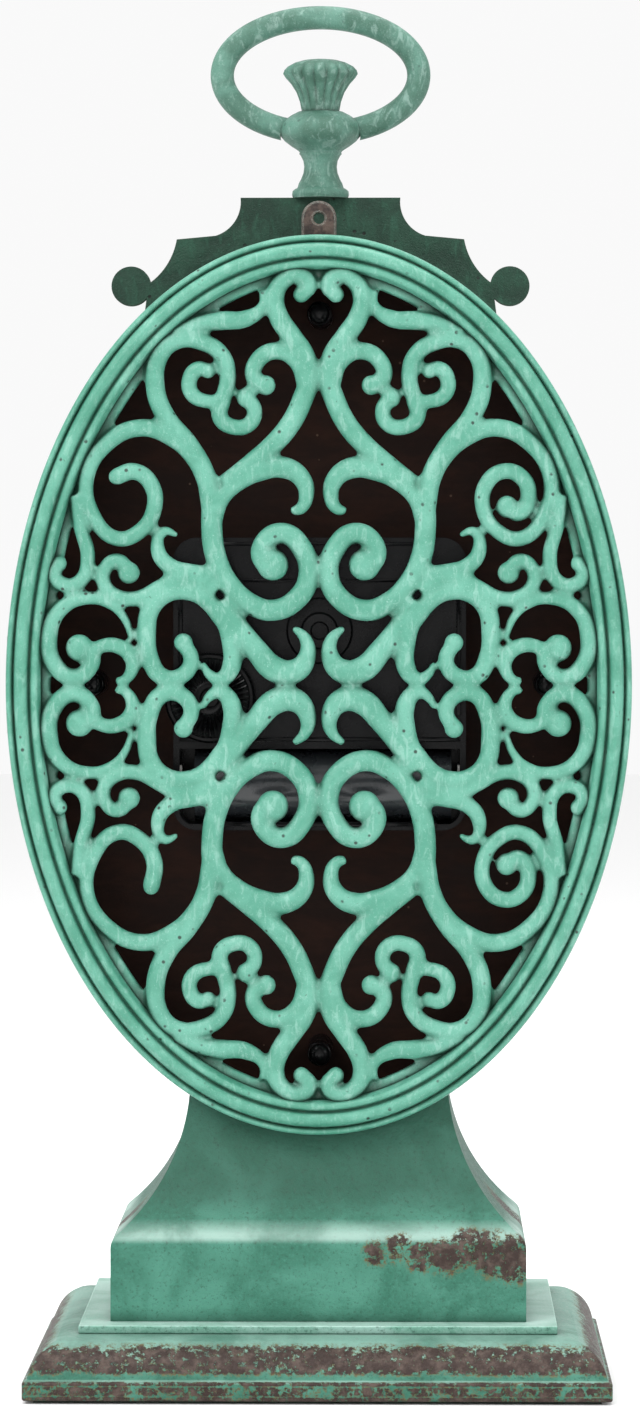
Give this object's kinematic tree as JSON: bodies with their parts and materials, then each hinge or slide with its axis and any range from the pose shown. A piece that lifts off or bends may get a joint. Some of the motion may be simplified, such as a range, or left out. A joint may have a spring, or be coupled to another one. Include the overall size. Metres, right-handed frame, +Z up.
{
  "type": "table clock",
  "caption": "Table clock shaped like a pocket watch on a pedestal, with an oval case, a hinged fretted rear cover, a bow and crown on top and a quartz movement inside.",
  "frame": {"origin": "centre of the underside, on the surface the clock stands on", "axes": "+Z up, +Y out of the dial side, -Y out of the fretted rear cover, +X to the right of someone facing the rear cover"},
  "size_m": [0.1228, 0.09, 0.2639],
  "materials": {
    "felt": "matt wool felt",
    "base_paint": "speckled verdigris paint with rust showing along the edges",
    "case_paint": "dark verdigris paint, mottled",
    "cover_paint": "mint verdigris paint, worn along the ridges, dark in the grooves",
    "pendant_paint": "frosted grey green paint",
    "worn_iron": "brown worn iron with a green edge",
    "steel": "plain steel",
    "magnet": "dark sintered magnet",
    "board": "dark brown fibre board",
    "black_plastic": "glossy black moulded plastic",
    "gear_plastic": "natural white acetal",
    "glass": "clear glass",
    "brass": "plain brass",
    "dial_card": "aged cream dial",
    "hand_black": "black enamel",
    "cell_wrap": "plain wrapped dry cell",
    "circuit": "green circuit board",
    "copper": "enamelled copper wire"
  },
  "bodies": {
    "clock": {"base_felt": "felt", "plinth": "base_paint", "plinth_top_plate": "base_paint", "pedestal": "base_paint", "pedestal_bolt": "steel", "case_band": "case_paint", "saddle_screws": "steel", "backing_board": "board", "spacer_sleeves": "black_plastic", "post_screws": "black_plastic", "crest_plate": "case_paint", "pendant_stud": "steel", "hanging_lug": "worn_iron", "pendant": "pendant_paint", "bow_ring": "pendant_paint", "crown_knob": "pendant_paint", "catch_magnet": "magnet", "hinge_leaf_case": "steel", "hinge_pin": "steel", "front_bezel": "case_paint", "dial_glass": "glass", "glass_retainer": "brass", "dial": "dial_card", "dial_washer": "brass", "hex_nut": "brass", "movement_back_cover": "black_plastic", "movement_front_case": "black_plastic", "battery": "cell_wrap", "contact_plate": "steel", "contact_spring": "steel", "circuit_board": "circuit", "control_chip": "black_plastic", "quartz_crystal": "steel", "stator_plate": "steel", "coil": "copper"},
    "rear_cover": {"cover_ring": "cover_paint", "cover_scrollwork": "cover_paint", "hinge_leaf_cover": "steel", "catch_strike": "steel"},
    "minute_arbor": {"minute_arbor": "gear_plastic", "minute_hand": "hand_black"},
    "hour_wheel": {"hour_wheel": "gear_plastic", "hour_hand": "hand_black"},
    "second_arbor": {"second_arbor": "steel", "second_hand": "hand_black"},
    "idler_wheel": {"idler_wheel": "gear_plastic"},
    "set_knob": {"set_knob": "black_plastic"},
    "reducer_wheel": {"reducer_wheel": "gear_plastic"},
    "rotor": {"rotor": "magnet"}
  },
  "joints": [
    {"name": "cover_hinge", "type": "hinge", "parent": "clock", "child": "rear_cover", "pos_m": [-0.0583, -0.0203, 0.1334], "axis": [0, 0, -1], "range_deg": [0, 110]},
    {"name": "minute_spin", "type": "hinge", "parent": "clock", "child": "minute_arbor", "pos_m": [0, 0, 0.1436], "axis": [0, -1, 0], "continuous": true},
    {"name": "hour_spin", "type": "hinge", "parent": "clock", "child": "hour_wheel", "pos_m": [0, 0, 0.1436], "axis": [0, -1, 0], "continuous": true},
    {"name": "idler_spin", "type": "hinge", "parent": "clock", "child": "idler_wheel", "pos_m": [-0.01023, 0, 0.13733], "axis": [0, -1, 0], "continuous": true},
    {"name": "set_knob_spin", "type": "hinge", "parent": "clock", "child": "set_knob", "pos_m": [-0.02089, 0, 0.1308], "axis": [0, -1, 0], "continuous": true},
    {"name": "second_spin", "type": "hinge", "parent": "clock", "child": "second_arbor", "pos_m": [0, 0, 0.1436], "axis": [0, -1, 0], "continuous": true},
    {"name": "reducer_spin", "type": "hinge", "parent": "clock", "child": "reducer_wheel", "pos_m": [0.00606, 0, 0.1471], "axis": [0, -1, 0], "continuous": true},
    {"name": "rotor_spin", "type": "hinge", "parent": "clock", "child": "rotor", "pos_m": [0.01206, 0, 0.1471], "axis": [0, -1, 0], "continuous": true}
  ],
  "couplings": [
    {"joint": "minute_spin", "follows": "set_knob_spin", "ratio": 1.1667},
    {"joint": "idler_spin", "follows": "set_knob_spin", "ratio": -0.38889},
    {"joint": "hour_spin", "follows": "set_knob_spin", "ratio": 0.097222},
    {"joint": "reducer_spin", "follows": "rotor_spin", "ratio": -0.2},
    {"joint": "second_spin", "follows": "rotor_spin", "ratio": 0.033333}
  ]
}
